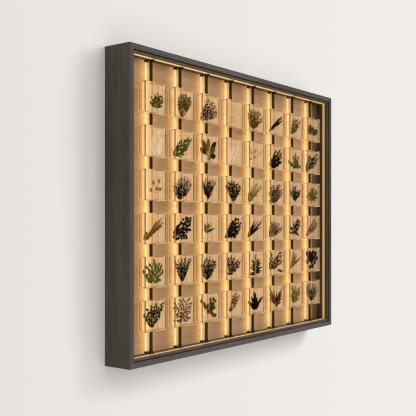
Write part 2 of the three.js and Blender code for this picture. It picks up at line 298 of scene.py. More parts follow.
def clear_plastic():
    nodes = Nodes("clear_box")
    smear = nodes.noise(nodes.place(), 45, 3)
    nodes.set(Base_Color=nodes.ramp(smear, [(0.3, (0.975, 0.97, 0.955)), (0.7, (1, 1, 0.99))]))
    nodes.set(Transmission_Weight=1.0, IOR=1.45, Roughness=0.0)
    return nodes.material


def carrier_sheet_painted_glow():
    """Clear sheet with a painted glow in faint upright streaks, standing in for the light of the lines
    behind it.
    """
    nodes = Nodes("carrier_sheet_painted_glow")
    streak = nodes.noise(nodes.place((1, 1, 0.02)), 170, 2, 0.5)
    # Painted glow: the streaks emit warm light, standing in for light of the lines scattered by the sheet.
    painted_glow_streaks = nodes.ramp(streak, [(0.32, (0.160, 0.100, 0.048)), (0.68, (0.245, 0.158, 0.078))])
    nodes.set(Base_Color=(0.86, 0.85, 0.84, 1), Transmission_Weight=0.95, IOR=1.3, Roughness=0.0)
    nodes.set(Emission_Color=painted_glow_streaks, Emission_Strength=1.0)
    return nodes.material


def sanded_edge_painted_light():
    """The sanded ends of the box walls, with painted light: a glow brighter toward the bottom and brightest
    at the back right, and painted shade, dark brown, at the front left.
    """
    nodes = Nodes("sanded_edge_painted_light")
    frost = nodes.noise(nodes.place(), 700, 3)
    # Painted glow, brighter toward the bottom of the box.
    low = nodes.range(nodes.axis("Z"), -BOX_TALL / 2, BOX_TALL / 2, 1.15, 0.85)
    near = nodes.math("LESS_THAN", nodes.axis("Y"), BOX_FRONT + BOX_WALL + GAP)
    left = nodes.math("LESS_THAN", nodes.axis("X"), 0)
    # Painted shade at the front left: a darker glow and a dark brown base colour.
    corner = nodes.math("MULTIPLY", near, left)
    # Painted highlight along the back right.
    far = nodes.math("GREATER_THAN", nodes.axis("Y"), BOX_BACK - BOX_WALL)
    painted_highlight_back_right = nodes.math("MULTIPLY", far, nodes.math("SUBTRACT", 1.0, left))
    shade = nodes.math("SUBTRACT", low, nodes.math("MULTIPLY", corner, 0.72))
    shade = nodes.math("ADD", shade, nodes.math("MULTIPLY", painted_highlight_back_right, 0.55))
    warm = nodes.ramp(frost, [(0.3, (0.31, 0.18, 0.072)), (0.7, (0.42, 0.25, 0.103))])
    tone = nodes.mix(corner, (0.58, 0.48, 0.37, 1), (0.17, 0.085, 0.035, 1))
    nodes.set(Base_Color=tone, Roughness=nodes.range(frost, 0.3, 0.7, 0.45, 0.6))
    nodes.set(Transmission_Weight=0.3, Emission_Strength=1.0)
    nodes.set(Emission_Color=nodes.mix(1.0, warm, shade, "MULTIPLY"))
    return nodes.material


def black_metal():
    nodes = Nodes("black_rod")
    fine = nodes.noise(nodes.place(), 1400, 3)
    nodes.set(Base_Color=nodes.ramp(fine, [(0.35, (0.010, 0.009, 0.008)), (0.65, (0.020, 0.018, 0.016))]))
    nodes.set(Metallic=0.0, Roughness=nodes.range(fine, 0.3, 0.7, 0.26, 0.4))
    nodes.bump(fine, 0.08, 0.2 * MM)
    return nodes.material


def leaf(name, roughness, blotch, painted_glow_share=0.0):
    """Dried leaf: each has its own colour, varied by fine blotches; thin ones get a painted glow in their
    own colour, standing in for light from behind.
    """
    nodes = Nodes(name)
    tint = nodes.add("ShaderNodeVertexColor", layer_name="tint").outputs["Color"]
    patch = nodes.noise(nodes.place(), 260, 4, 0.6)
    fine = nodes.noise(nodes.place(), 1500, 3, 0.6)
    shade = nodes.range(patch, 0.3, 0.7, 1 - blotch, 1 + blotch)
    colour = nodes.mix(1.0, tint, shade, "MULTIPLY")
    nodes.set(Base_Color=colour, Emission_Color=colour, Emission_Strength=painted_glow_share)
    nodes.set(Roughness=nodes.range(fine, 0.3, 0.7, roughness - 0.08, roughness + 0.1))
    nodes.set(Specular_IOR_Level=0.06)
    nodes.bump(nodes.math("ADD", patch, fine), 0.3, 0.3 * MM)
    return nodes.material


# Mesh helpers
def link_piece(name, mesh, material, nodes=()):
    """A piece of the object: it rides on the one body and stands for the CAD nodes that it names."""
    mesh.materials.clear()
    mesh.materials.append(material)
    piece = bpy.data.objects.new(name, mesh)
    scene.collection.objects.link(piece)
    if nodes:
        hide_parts(*nodes)
    return piece


def add_block(bm, low, high):
    """An axis-aligned block between two corners. Returns its vertices."""
    corners = [(x, y, z) for x in (low[0], high[0]) for y in (low[1], high[1]) for z in (low[2], high[2])]
    verts = [bm.verts.new(corner) for corner in corners]
    for face in ((0, 1, 3, 2), (4, 6, 7, 5), (0, 4, 5, 1), (2, 3, 7, 6), (0, 2, 6, 4), (1, 5, 7, 3)):
        bm.faces.new([verts[i] for i in face])
    return verts


def add_round_block(bm, low, high, radius, segments=2):
    """A block with rounded edges."""
    verts = add_block(bm, low, high)
    edges = list({edge for vert in verts for edge in vert.link_edges})
    bmesh.ops.bevel(bm, geom=edges, offset=radius, segments=segments, affect="EDGES", profile=0.5)


def finished(bm, name, outward=True):
    """A mesh from the shapes made so far, with all faces turned outward unless they are right already."""
    if outward:
        bmesh.ops.recalc_face_normals(bm, faces=bm.faces)
    mesh = bpy.data.meshes.new(name)
    bm.to_mesh(mesh)
    bm.free()
    return mesh


def soften(piece, width, segments=2):
    """Rounds the sharp edges of a piece."""
    bevel = piece.modifiers.new("edges", "BEVEL")
    bevel.width = width
    bevel.segments = segments
    bevel.limit_method = "ANGLE"
    bevel.angle_limit = math.radians(30)
    bevel.harden_normals = True
    for polygon in piece.data.polygons:
        polygon.use_smooth = True


# Case
RAIL_PROFILE = [
    (0, CASE_FRONT),
    (RIM, CASE_FRONT),
    (RIM, GROOVE_BACK),
    (RIM + GROOVE, GROOVE_BACK),
    (RIM + GROOVE, LINER_FRONT),
    (WALL, LINER_FRONT),
    (WALL, CHANNEL_FRONT),
    (WALL - CHANNEL, CHANNEL_FRONT),
    (WALL - CHANNEL, CHANNEL_BACK),
    (WALL, CHANNEL_BACK),
    (WALL, PANEL_BACK),
    (WALL + SHOULDER, PANEL_BACK),
    (WALL + SHOULDER, BOARD_FRONT),
    (WALL, BOARD_FRONT),
    (WALL, 0),
    (0, 0),
]


def make_rail(name, side, sign, material):
    """One rail of the case, cut at 45 degrees at both ends."""
    bm = bmesh.new()
    ends = []
    for end in (-1, 1):
        ring = []
        for inward, y in RAIL_PROFILE:
            wide = HALF_WIDE - inward
            tall = HALF_TALL - inward
            across = sign * wide if side == "upright" else end * (wide - MITRE_GAP)
            up = sign * tall if side == "level" else end * (tall - MITRE_GAP)
            ring.append(bm.verts.new((across, y, up)))
        ends.append(ring)
        bm.faces.new(ring)
    first, last = ends
    count = len(RAIL_PROFILE)
    for i in range(count):
        following = (i + 1) % count
        bm.faces.new((first[i], first[following], last[following], last[i]))
    piece = link_piece(name, finished(bm, name), material, ["case"])
    soften(piece, 0.7 * MM)
    return piece


def make_cheek(name, sign, material):
    """The brown board beside the panel, its colour warmed by painted light from the lines, and the batten
    behind it that the panel rests on.
    """
    bm = bmesh.new()
    outer = HALF_OPEN_WIDE - GAP
    inner = HALF_OPEN_WIDE - CHEEK
    tall = HALF_OPEN_TALL - GAP
    back_tall = HALF_OPEN_TALL - SHOULDER - GAP
    behind = inner - SHOULDER
    for low_x, high_x, front, back, half in (
        (inner, outer, PANEL_FRONT, PANEL_BACK, tall),
        (behind, outer - SHOULDER, PANEL_BACK, BOARD_FRONT - GAP, back_tall),
    ):
        low, high = sorted((sign * low_x, sign * high_x))
        add_block(bm, (low, front, -half), (high, back, half))
    piece = link_piece(name, finished(bm, name), material, ["case"])
    soften(piece, 0.5 * MM)
    return piece


def make_case():
    # Painted light and shade: a lighter copy of the stain for the top and bottom rails and a darker copy for
    # the side rails, for how the light falls on them.
    level = stained_wood("case_wood_level_painted_lighter", "x", (0.062, 0.053, 0.044), (0.155, 0.138, 0.118))
    upright = stained_wood("case_wood_upright_painted_darker", "z", (0.053, 0.045, 0.037), (0.132, 0.116, 0.097))
    # Painted light: the cheek wood is brown and warmed further, standing in for the warm light of the lines
    # on it.
    cheek = stained_wood("case_wood_cheek_painted_warm", "z", (0.120, 0.064, 0.026), (0.215, 0.122, 0.052), 0.45)
    return [
        make_rail("rail_top", "level", 1, level),
        make_rail("rail_bottom", "level", -1, level),
        make_rail("rail_left", "upright", -1, upright),
        make_rail("rail_right", "upright", 1, upright),
        make_cheek("cheek_left", -1, cheek),
        make_cheek("cheek_right", 1, cheek),
    ]


# Panel and its lit lines
def make_panel():
    half_wide = HALF_OPEN_WIDE - CHEEK - GAP
    half_tall = HALF_OPEN_TALL - GAP
    bm = bmesh.new()
    low = (-half_wide, PANEL_FRONT, -half_tall)
    add_round_block(bm, low, (half_wide, PANEL_BACK - GAP, half_tall), 0.4 * MM)
    sheet = finished(bm, "panel_sheet")
    pieces = [link_piece("panel_sheet", sheet, panel_wood(), ["display_panel"])]
    line = line_mesh(half_tall)
    material = diffuser("lit_line", (0.80, 0.60, 0.21), 1.0)
    for column in range(COLUMNS):
        piece = link_piece(f"lit_line_c{column + 1}", line, material, ["display_panel"])
        piece.location = (column_x(column), PANEL_FRONT, 0)
        pieces.append(piece)
    return pieces


def line_mesh(half_tall):
    """A diffuser bar with a rounded front, flat on the panel."""
    bm = bmesh.new()
    steps = 8
    half = LINE_WIDE / 2
    profile = [(-half, 0)]
    profile += [(-half * math.cos(math.pi * i / steps), -LINE_PROUD * math.sin(math.pi * i / steps) ** 0.6)
                for i in range(1, steps)]
    profile += [(half, 0)]
    rings = [[bm.verts.new((x, y, end * half_tall)) for x, y in profile] for end in (-1, 1)]
    for ring in rings:
        bm.faces.new(ring)
    count = len(profile)
    for i in range(count):
        following = (i + 1) % count
        bm.faces.new((rings[0][i], rings[0][following], rings[1][following], rings[1][i]))
    return finished(bm, "lit_line")


def make_clips(material):
    """Black clips that hold both ends of each lit line."""
    bm = bmesh.new()
    half = CLIP_WIDE / 2
    ear = 3.5 * MM
    add_round_block(bm, (-half, -1.5 * MM, 0), (half, 0, CLIP_TALL), 0.4 * MM)
    add_round_block(bm, (-half + ear, -CLIP_PROUD, 0), (half - ear, -1 * MM, CLIP_TALL), 0.7 * MM)
    mesh = finished(bm, "clip")
    pieces = []
    for column in range(COLUMNS):
        for word, z in (("top", HALF_OPEN_TALL - GAP - CLIP_TALL), ("bottom", -HALF_OPEN_TALL + GAP)):
            piece = link_piece(f"clip_{word}_c{column + 1}", mesh, material)
            piece.location = (column_x(column), PANEL_FRONT, z)
            pieces.append(piece)
    return pieces


# Rods
def make_rods(material):
    half = ROD / 2
    round_edge = 0.5 * MM
    bm = bmesh.new()
    stops = [HALF_OPEN_TALL - GAP]
    for row in range(ROWS):
        stops += [row_z(row) + BOX_TALL / 2, row_z(row) - BOX_TALL / 2]
    stops += [-HALF_OPEN_TALL + GAP]
    for top, bottom in zip(stops[::2], stops[1::2]):
        low = (-half, ROD_MIDDLE - half, bottom)
        add_round_block(bm, low, (half, ROD_MIDDLE + half, top), round_edge)
    rods = finished(bm, "rods")

    bm = bmesh.new()
    reach = BOX_TALL / 2 - BOX_WALL - GAP
    for row in range(ROWS):
        where = Matrix.Translation((0, PIN_MIDDLE, row_z(row)))
        bmesh.ops.create_cone(bm, cap_ends=True, segments=14, radius1=PIN / 2, radius2=PIN / 2,
                              depth=2 * reach, matrix=where)
    pins = finished(bm, "pins", False)

    bm = bmesh.new()
    top = HALF_OPEN_TALL - GAP
    low = (-CAP_WIDE / 2, CAP_FRONT, top - CAP_TALL)
    add_round_block(bm, low, (CAP_WIDE / 2, ROD_MIDDLE + half + 1 * MM, top), 0.8 * MM)
    cap = finished(bm, "cap")

    bm = bmesh.new()
    base = -HALF_OPEN_TALL + GAP
    rings = []
    flare = ((0, FOOT_WIDE), (0.12, FOOT_WIDE), (0.3, FOOT_WIDE * 0.82), (0.6, ROD * 1.16), (1, ROD))
    for far, width in flare:
        corners = [(-1, -1), (1, -1), (1, 1), (-1, 1)]
        z = base + far * FOOT_TALL
        rings.append([bm.verts.new((sx * width / 2, ROD_MIDDLE + sy * width / 2, z)) for sx, sy in corners])
    for lower, upper in zip(rings, rings[1:]):
        for i in range(4):
            bm.faces.new((lower[i], lower[(i + 1) % 4], upper[(i + 1) % 4], upper[i]))
    bm.faces.new(rings[0])
    bm.faces.new(rings[-1])
    foot = finished(bm, "foot")

    pieces = []
    for column in range(COLUMNS):
        node = f"box_column_{column + 1}"
        for word, mesh in (("rods", rods), ("pins", pins), ("cap", cap), ("foot", foot)):
            piece = link_piece(f"{word}_c{column + 1}", mesh, material, [node])
            piece.location = (column_x(column), 0, 0)
            pieces.append(piece)
    return pieces


# Boxes
def box_shell(bm):
    """A thin-walled closed shell."""
    outer = (BOX_WIDE / 2 - EDGE_THICK, BOX_TALL / 2 - EDGE_THICK)
    front = BOX_FRONT + EDGE_THICK
    back = BOX_BACK - EDGE_THICK
    add_round_block(bm, (-outer[0], front, -outer[1]), (outer[0], back, outer[1]), 0.3 * MM)
    bmesh.ops.recalc_face_normals(bm, faces=bm.faces)
    outside = set(bm.faces)
    inner = (BOX_WIDE / 2 - BOX_WALL, BOX_TALL / 2 - BOX_WALL)
    low = (-inner[0], BOX_FRONT + BOX_WALL, -inner[1])
    high = (inner[0], BOX_BACK - BOX_WALL, inner[1])
    add_round_block(bm, low, high, 0.3 * MM)
    hollow = [face for face in bm.faces if face not in outside]
    bmesh.ops.recalc_face_normals(bm, faces=hollow)
    bmesh.ops.reverse_faces(bm, faces=hollow)


def box_edges(bm):
    """The sanded ends of the walls: a band round each side, and lines at the left, right and foot of the
    front face, which carry painted light and painted shade.
    """
    wide = BOX_WIDE / 2
    tall = BOX_TALL / 2
    thick = EDGE_THICK * 0.8
    for sign in (-1, 1):
        x = sorted((sign * wide, sign * (wide - thick)))
        for y in ((BOX_FRONT, BOX_FRONT + BOX_WALL), (BOX_BACK - BOX_WALL, BOX_BACK)):
            add_block(bm, (x[0], y[0], -tall), (x[1], y[1], tall))
        for z in ((tall - BOX_WALL, tall), (-tall, -tall + BOX_WALL)):
            add_block(bm, (x[0], BOX_FRONT + BOX_WALL, z[0]), (x[1], BOX_BACK - BOX_WALL, z[1]))
    # Strips on the front face that carry the painted light and painted shade lines at the right, the foot
    # and the left.
    add_block(bm, (wide - FRONT_LINE, BOX_FRONT, -tall), (wide - thick, BOX_FRONT + thick, tall))
    low = (-wide + thick, BOX_FRONT, -tall)
    add_block(bm, low, (wide - FRONT_LINE, BOX_FRONT + thick, -tall + FRONT_LINE))
    low = (-wide + thick, BOX_FRONT, -tall + FRONT_LINE)
    add_block(bm, low, (-wide + FRONT_BAND, BOX_FRONT + thick, tall))


def box_sheet(bm):
    """The carrier sheet in the middle of the box, with its wing along the right wall."""
    inner = (BOX_WIDE / 2 - BOX_WALL - GAP, BOX_TALL / 2 - BOX_WALL - GAP)
    low = (-inner[0], BOX_MIDDLE - SHEET_THICK / 2, -inner[1])
    high = (inner[0], BOX_MIDDLE + SHEET_THICK / 2, inner[1])
    add_round_block(bm, low, high, 0.2 * MM, 1)
    low = (inner[0] - SHEET_THICK, BOX_FRONT + BOX_WALL + GAP, -inner[1])
    high = (inner[0], BOX_MIDDLE - SHEET_THICK / 2 - GAP / 3, inner[1])
    add_round_block(bm, low, high, 0.2 * MM, 1)


def make_boxes():
    """Clear boxes whose sanded wall ends carry painted light and painted shade, each with a carrier sheet in
    the middle that has a painted glow in faint upright streaks.
    """
    parts = []
    for word, build, material in (
        ("box", box_shell, clear_plastic()),
        ("edges", box_edges, sanded_edge_painted_light()),
        ("sheet", box_sheet, carrier_sheet_painted_glow()),
    ):
        bm = bmesh.new()
        build(bm)
        parts.append((word, finished(bm, word, word != "box"), material))
    pieces = []
    for column in range(COLUMNS):
        for row in range(ROWS):
            for word, mesh, material in parts:
                name = f"{word}_r{row + 1}_c{column + 1}"
                piece = link_piece(name, mesh, material, [f"box_column_{column + 1}"])
                piece.location = (column_x(column), 0, row_z(row))
                pieces.append(piece)
    return pieces


# Plants
LEAF_FORMS = {
    "oval": lambda far: math.sin(math.pi * far) ** 0.8,
    "lance": lambda far: 2.6 * math.sqrt(far) * (1 - far),
    "spoon": lambda far: math.sin(math.pi * far ** 1.5) ** 0.8,
    "needle": lambda far: math.sin(math.pi * far) ** 0.35,
    "pod": lambda far: math.sin(math.pi * (0.06 + 0.9 * far)) ** 0.4,
    "lobed": lambda far: math.sin(math.pi * far) ** 0.7 * (0.62 + 0.38 * abs(math.cos(3.5 * math.pi * far))),
}


class Growth:
    """Vertices, faces and a colour for each vertex of one plant. Lift is the distance towards the viewer."""

    def __init__(self, seed):
        self.points = []
        self.faces = []
        self.tints = []
        self.random = random.Random(seed)

    def point(self, x, lift, z, tint):
        self.points.append([x, lift, z])
        self.tints.append(tint)
        return len(self.points) - 1

    def shade(self, colour, spread=0.42):
        """The colour, a little lighter or darker and warmer or cooler."""
        light = self.random.uniform(1 - spread, 1 + spread)
        warm = self.random.uniform(1 - spread / 3, 1 + spread / 3)
        return (colour[0] * light * warm, colour[1] * light, colour[2] * light / warm, 1)

    def add_leaf(self, foot, heading, length, breadth, form, colour, lift):
        """A closed leaf with a keel along its middle, headed this far clockwise from upright."""
        steps = 13 if form == "lobed" else 5
        bend = self.random.uniform(-0.3, 0.3)
        keel = breadth * self.random.uniform(-0.16, 0.2)
        rise = length * self.random.uniform(-0.04, 0.07)
        thick = 0.25 * MM
        tint = self.shade(colour)
        rib = tuple(min(1, c * 1.25) for c in tint[:3]) + (1,)
        x, z = foot
        rows = []
        for i in range(steps + 1):
            far = i / steps
            half = breadth / 2 * max(LEAF_FORMS[form](min(max(far, 0.001), 0.999)), 0.05)
            angle = heading + bend * far
            side_x = math.cos(angle) * half
            side_z = -math.sin(angle) * half
            here = lift + rise * far * far
            middle = here + keel * half / breadth * 2
            rows.append((
                self.point(x - side_x, here, z - side_z, tint),
                self.point(x, middle + thick, z, rib),
                self.point(x + side_x, here, z + side_z, tint),
                self.point(x, middle - thick, z, rib),
            ))
            x += math.sin(angle) * length / steps
            z += math.cos(angle) * length / steps
        self.skin(rows)

    def add_stem(self, path, thick, thin, colour):
        """A round stem along points (x, lift, z), tapering to its end."""
        sides = 6
        tint = self.shade(colour, 0.1)
        rings = []
        for i, (x, lift, z) in enumerate(path):
            ahead = path[min(i + 1, len(path) - 1)]
            behind = path[max(i - 1, 0)]
            along = math.atan2(ahead[0] - behind[0], ahead[2] - behind[2])
            radius = (thick + (thin - thick) * i / (len(path) - 1)) / 2
            ring = []
            for k in range(sides):
                turn = 2 * math.pi * k / sides
                off = radius * math.cos(turn)
                side_x = x + math.cos(along) * off
                side_z = z - math.sin(along) * off
                ring.append(self.point(side_x, lift + radius * math.sin(turn), side_z, tint))
            rings.append(ring)
        self.skin(rings)

    def skin(self, rings):
        """Closes a run of rings of points into one body."""
        count = len(rings[0])
        for first, second in zip(rings, rings[1:]):
            for i in range(count):
                following = (i + 1) % count
                self.faces.append((first[i], first[following], second[following], second[i]))
        self.faces.append(tuple(reversed(rings[0])))
        self.faces.append(tuple(rings[-1]))

    def add_branch(self, root, tip, lean, plant):
        """A curved stem from the root to a tip, with leaves on both sides and one at the end."""
        reach = math.dist(root, tip)
        out = ((tip[0] - root[0]) / reach, (tip[1] - root[1]) / reach)
        bow = plant["bow"]
        middle = [root[k] + reach / 2 * (out[k] * (1 - bow) + lean[k] * bow) for k in (0, 1)]
        base = self.random.uniform(0.5, 2.2) * MM
        steps = 8
        path = []
        for i in range(steps + 1):
            t = i / steps
            spot = [root[k] * (1 - t) ** 2 + 2 * middle[k] * t * (1 - t) + tip[k] * t * t for k in (0, 1)]
            path.append((spot[0], base, spot[1]))
        thick = plant["stem"] * MM
        self.add_stem(path, thick, thick * 0.4, plant["wood"])
        leaves = plant["leaves"] if plant["way"] == "branch" else 0
        for i in range(leaves):
            t = plant["start"] + (0.97 - plant["start"]) * i / max(leaves - 1, 1)
            along = t * steps
            k = min(int(along), steps - 1)
            part = along - k
            foot = [path[k][n] + (path[k + 1][n] - path[k][n]) * part for n in (0, 2)]
            heading = math.atan2(path[k + 1][0] - path[k][0], path[k + 1][2] - path[k][2])
            side = 1 if i % 2 else -1
            opening = math.radians(plant["open"]) * self.random.uniform(0.75, 1.25)
            size = (1 - 0.35 * t) * self.random.uniform(0.8, 1.15)
            lift = base + self.random.uniform(-0.3, 1.2) * MM
            self.add_leaf(foot, heading + side * opening, plant["long"] * MM * size,
                          plant["broad"] * MM * size, plant["leaf"], plant["tone"], lift)
        heading = math.atan2(path[-1][0] - path[-2][0], path[-1][2] - path[-2][2])
        if plant["flower"]:
            self.add_flower(tip, plant)
        elif leaves:
            self.add_leaf(tip, heading, plant["long"] * MM * 0.8, plant["broad"] * MM * 0.8, plant["leaf"],
                          plant["tone"], base + 0.6 * MM)
        return path

    def spread_leaves(self, root, tips, paths, plant):
        """Two layers of leaves spaced evenly over the lobes round the tips, on twigs from the branches."""
        reaches = [math.dist(root, tip) for tip in tips]
        turns = [math.atan2(tip[0] - root[0], tip[1] - root[1]) for tip in tips]
        lows = [min(spot[k] for spot in (root, *tips)) for k in (0, 1)]
        highs = [max(spot[k] for spot in (root, *tips)) for k in (0, 1)]
        lobe = math.radians(plant["lobe"])
        length = plant["long"] * MM
        spots = []
        for share in (0.74, 1.0):
            layer = []
            for _ in range(TRIES):
                spot = [self.random.uniform(lows[k], highs[k]) for k in (0, 1)]
                away = math.dist(root, spot)
                turn = math.atan2(spot[0] - root[0], spot[1] - root[1])
                offs = [abs((turn - other + math.pi) % (2 * math.pi) - math.pi) for other in turns]
                reach = max(far * math.exp(-(off / lobe) ** 2) for far, off in zip(reaches, offs))
                if not plant["start"] * reach <= away <= share * reach:
                    continue
                if all(math.dist(spot, other) > plant["gap"] * length for other in layer):
                    layer.append(spot)
            spots += layer
        joints = [point for path in paths for point in path]
        for spot in spots:
            heading = math.atan2(spot[0] - root[0], spot[1] - root[1])
            heading += math.radians(plant["open"]) * self.random.uniform(-1, 1)
            size = length * self.random.uniform(0.8, 1.2)
            foot = (spot[0] - math.sin(heading) * size / 2, spot[1] - math.cos(heading) * size / 2)
            near = min(joints, key=lambda joint: math.dist((joint[0], joint[2]), foot))
            lift = near[1] + self.random.uniform(-0.3, 1.8) * MM
            self.add_stem([near, (foot[0], lift, foot[1])], 0.7 * MM, 0.5 * MM, plant["wood"])
            self.add_leaf(foot, heading, size, plant["broad"] * MM, plant["leaf"], plant["tone"], lift)

    def add_flower(self, middle, plant):
        """Round petals that overlap round a centre."""
        petals = 6
        radius = plant["flower"] * MM
        first = self.random.uniform(0, math.pi)
        for i in range(petals):
            heading = first + 2 * math.pi * i / petals
            lift = (1.0 + 0.5 * (i % 2)) * MM
            self.add_leaf(middle, heading, radius, radius * 0.95, "pod", plant["tone"], lift)

    def add_skeleton(self, foot, tip, breadth, colour):
        """A leaf with only its edge, its rib and its veins left."""
        length = math.dist(foot, tip)
        along = ((tip[0] - foot[0]) / length, (tip[1] - foot[1]) / length)
        side = (along[1], -along[0])
        steps = 14

        def spot(far, off):
            return (foot[0] + along[0] * length * far + side[0] * breadth / 2 * off, 1 * MM,
                    foot[1] + along[1] * length * far + side[1] * breadth / 2 * off)

        def edge(far):
            return math.sin(math.pi * far) ** 0.75

        for sign in (-1, 1):
            path = [spot(i / steps, sign * edge(i / steps)) for i in range(steps + 1)]
            self.add_stem(path, 2.6 * MM, 2.0 * MM, colour)
            for i in range(2, steps - 1):
                start = i / steps
                end = min(start + 0.13, 0.97)
                wide = sign * edge(end) * 0.96
                vein = [spot(start + (end - start) * k / 3, wide * k / 3) for k in range(4)]
                self.add_stem(vein, 0.9 * MM, 0.6 * MM, colour)
        rib = [spot(-0.08 + 1.08 * i / steps, 0) for i in range(steps + 1)]
        self.add_stem(rib, 2.0 * MM, 0.8 * MM, colour)


# What each plant has unless it says otherwise: leaf form, length and breadth in mm, leaves on a branch,
# where they start along it, how far they open in degrees, stem thickness in mm, bow of the branches, and
# flower radius in mm. The way is leaves spread over the plant, along its branches, or one blade to each tip.
# Gap is the spacing of spread leaves in leaf lengths, and lobe their spread each side of a tip, in degrees.
USUAL = {
    "leaf": "oval", "long": 9, "broad": 4.5, "leaves": 6, "start": 0.35, "open": 48, "stem": 1.2, "bow": 0.4,
    "flower": 0, "way": "spread", "gap": 0.6, "lobe": 16,
}

# A painted warm light cast, darkening all but the pale plants, the growth of all leaves, and the spots tried
# for leaves
PAINTED_WARM_CAST = (0.92, 0.74, 0.46)
LONGER = 1.12
BROADER = 1.12 * 1.12
TRIES = 1600


def spots(text):
    """Spots written as "x,z x,z", in hundredths of the plant's width and height, from its lower left."""
    return [tuple(int(value) for value in pair.split(",")) for pair in text.split()]


def specimen(wide, tall, x, z, colour, slot, roots="", tips="", more_tips="", **others):
    """A plant's size and offset in mm, its colour, its slot, its spots, and what isn't as usual."""
    own = {"size": (wide, tall), "at": (x, z), "colour": colour, "slot": "leaf_" + slot}
    own.update(roots=spots(roots), tips=[spots(tips), spots(more_tips)])
    return {**USUAL, **own, **others}


